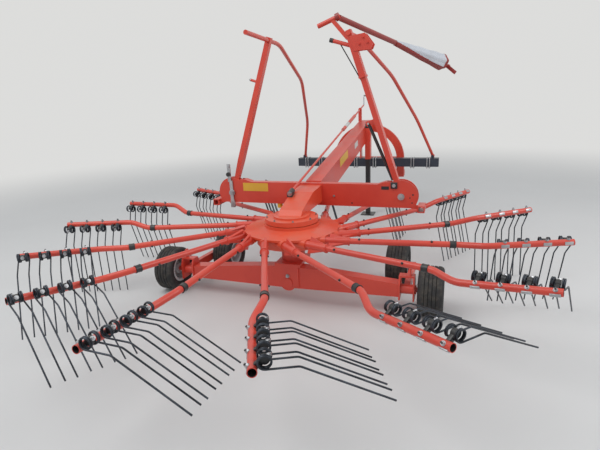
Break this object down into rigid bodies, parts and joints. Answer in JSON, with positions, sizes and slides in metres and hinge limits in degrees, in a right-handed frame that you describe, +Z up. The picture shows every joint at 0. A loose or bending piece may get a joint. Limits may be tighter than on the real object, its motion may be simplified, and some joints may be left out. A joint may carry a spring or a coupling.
{
  "type": "rotary hay rake",
  "caption": "Mounted single-rotor rotary hay rake with cam-tilted tine arms, folding side guards and a swath curtain on a four-wheel axle.",
  "frame": {"origin": "on the ground, in the middle of the footprint's box, 0.779 m before the rotor axis", "axes": "+X to the right, +Y forward to the tractor, +Z up"},
  "size_m": [4.1028, 5.6694, 2.3329],
  "materials": {
    "red_paint": "glossy orange-red powder coat",
    "orange_paint": "glossy orange-red paint, a little lighter",
    "deep_red_paint": "glossy deep red powder coat",
    "dark_paint": "satin blue-black paint",
    "black_paint": "satin black paint",
    "zinc": "zinc plated",
    "bare_steel": "machined and greased",
    "curtain_canvas": "coated canvas, pale grey",
    "tyre": "black rubber with round ribs",
    "rim_paint": "light grey paint"
  },
  "bodies": {
    "frame": {"axle_beam": "red_paint", "axle_end_left": "red_paint", "axle_end_right": "red_paint", "front_wheel_arm_left": "red_paint", "front_wheel_arm_right": "red_paint", "centre_column": "red_paint", "gearbox_housing": "orange_paint", "crossbeam": "red_paint", "lamp_socket_left": "red_paint", "lamp_socket_right": "red_paint", "boom": "red_paint", "boom_head": "red_paint", "front_bar": "dark_paint", "crank_foot": "black_paint", "height_crank": "zinc", "guard_latch_lever": "zinc", "stand_sleeve": "red_paint"},
    "rotor": {"rotor_hub": "orange_paint", "tine_arm_1": "red_paint", "tine_arm_2": "red_paint", "tine_arm_3": "red_paint", "tine_arm_4": "red_paint", "tine_arm_5": "red_paint", "tine_arm_6": "red_paint", "tine_arm_7": "red_paint", "tine_arm_8": "red_paint", "tine_arm_9": "red_paint", "tine_arm_10": "red_paint", "tine_arm_11": "red_paint", "tine_arm_12": "red_paint", "tine_arm_13": "red_paint", "tine_arm_14": "red_paint", "tine_arm_15": "red_paint"},
    "input_shaft": {"input_shaft": "bare_steel"},
    "headstock": {"headstock": "red_paint"},
    "parking_leg": {"parking_leg": "black_paint"},
    "guard_left": {"guard_arm_left": "red_paint", "guard_bow_left": "red_paint"},
    "guard_right": {"guard_arm_right": "red_paint", "guard_bow_right": "red_paint", "curtain_bar": "deep_red_paint", "curtain_sheet": "curtain_canvas"},
    "wheel_rear_left": {"tyre_rear_left": "tyre", "rim_rear_left": "rim_paint"},
    "wheel_rear_right": {"tyre_rear_right": "tyre", "rim_rear_right": "rim_paint"},
    "wheel_front_left": {"tyre_front_left": "tyre", "rim_front_left": "rim_paint"},
    "wheel_front_right": {"tyre_front_right": "tyre", "rim_front_right": "rim_paint"}
  },
  "joints": [
    {"name": "rotor_spin", "type": "hinge", "parent": "frame", "child": "rotor", "pos_m": [0, -0.779, 0.584], "axis": [0, 0, 1], "continuous": true},
    {"name": "input_spin", "type": "hinge", "parent": "frame", "child": "input_shaft", "pos_m": [0, -0.05, 0.74], "axis": [0, 1, 0], "continuous": true},
    {"name": "steering", "type": "hinge", "parent": "frame", "child": "headstock", "pos_m": [0, 2.571, 0.9], "axis": [0, 0, 1], "range_deg": [-15, 15]},
    {"name": "leg_slide", "type": "slide", "parent": "frame", "child": "parking_leg", "axis": [0, 0, 1], "range_m": [0, 0.3]},
    {"name": "guard_left_fold", "type": "hinge", "parent": "frame", "child": "guard_left", "pos_m": [-0.829, -0.176, 0.772], "axis": [-0.0454, 0.999, 0], "range_deg": [-108, 0]},
    {"name": "guard_right_fold", "type": "hinge", "parent": "frame", "child": "guard_right", "pos_m": [0.829, -0.176, 0.772], "axis": [0.0454, 0.999, 0], "range_deg": [0, 108]},
    {"name": "wheel_rear_left_spin", "type": "hinge", "parent": "frame", "child": "wheel_rear_left", "pos_m": [-1.145, -0.884, 0.195], "axis": [1, 0, 0], "continuous": true},
    {"name": "wheel_rear_right_spin", "type": "hinge", "parent": "frame", "child": "wheel_rear_right", "pos_m": [1.145, -0.884, 0.195], "axis": [1, 0, 0], "continuous": true},
    {"name": "wheel_front_left_spin", "type": "hinge", "parent": "frame", "child": "wheel_front_left", "pos_m": [-0.835, -0.379, 0.195], "axis": [1, 0, 0], "continuous": true},
    {"name": "wheel_front_right_spin", "type": "hinge", "parent": "frame", "child": "wheel_front_right", "pos_m": [0.835, -0.379, 0.195], "axis": [1, 0, 0], "continuous": true}
  ],
  "couplings": [
    {"joint": "input_spin", "follows": "rotor_spin", "ratio": 7}
  ]
}
